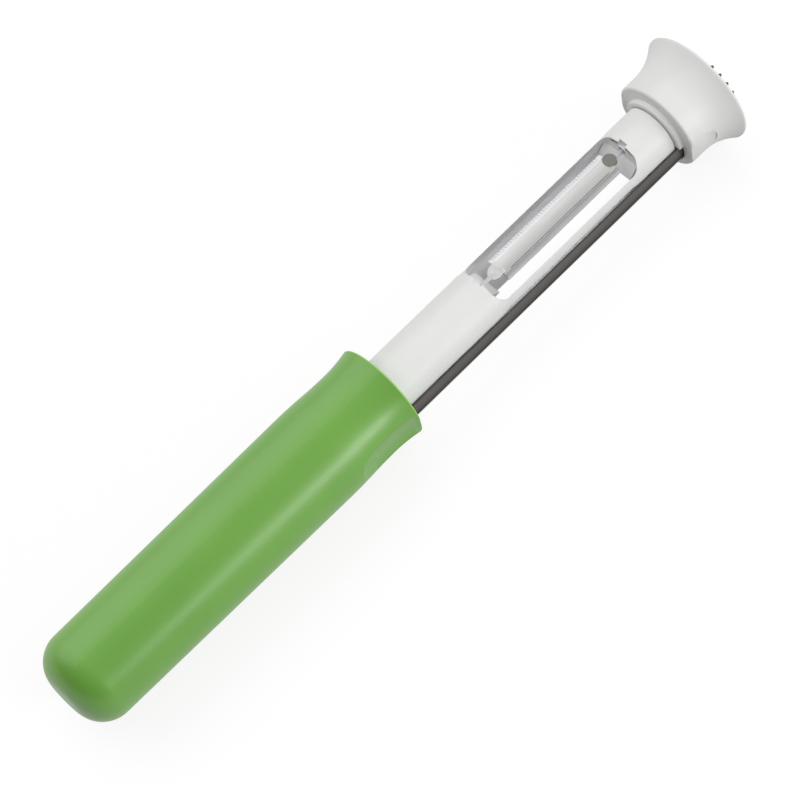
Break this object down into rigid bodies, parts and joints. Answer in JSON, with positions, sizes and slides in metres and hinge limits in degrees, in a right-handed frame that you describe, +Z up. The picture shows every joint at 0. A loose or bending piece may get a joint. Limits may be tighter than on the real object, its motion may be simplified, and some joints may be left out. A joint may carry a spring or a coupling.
{
  "type": "fruit corer",
  "caption": "Fruit corer with an open steel tube in a hollow handle and a pull-off half-round cover that carries a swivel peeler blade and a flared scaler head.",
  "frame": {"origin": "bottom centre of the bounding box, straight below the middle of the tool's length, at the lowest flat of the head's rim", "axes": "+X along the tool from the handle's closed end to the scaler, +Z up through the crown of the cover and its peeler window, +Y to the left when looking from the handle to the head"},
  "size_m": [0.2486, 0.0366, 0.0366],
  "materials": {
    "green_plastic": "satin moulded",
    "plug_plastic": "moulded",
    "white_plastic": "smooth moulded",
    "tube_steel": "polished sheet",
    "pin_steel": "drawn wire",
    "scaler_steel": "punched sheet",
    "blade_steel": "ground sheet"
  },
  "bodies": {
    "handle": {"handle": "green_plastic", "handle_plug": "plug_plastic", "coring_tube": "tube_steel", "tang_pin_front": "pin_steel", "tang_pin_rear": "pin_steel"},
    "cover": {"cover_shell": "white_plastic", "cover_head": "white_plastic", "scaler_plate": "scaler_steel"},
    "peeler": {"peeler_blade": "blade_steel"}
  },
  "joints": [
    {"name": "cover_pull", "type": "slide", "parent": "handle", "child": "cover", "axis": [1, 0, 0], "range_m": [0, 0.14]},
    {"name": "peeler_swivel", "type": "hinge", "parent": "cover", "child": "peeler", "pos_m": [0.0637, 0, 0.02321], "axis": [1, 0, 0], "range_deg": [-20, 20]}
  ]
}
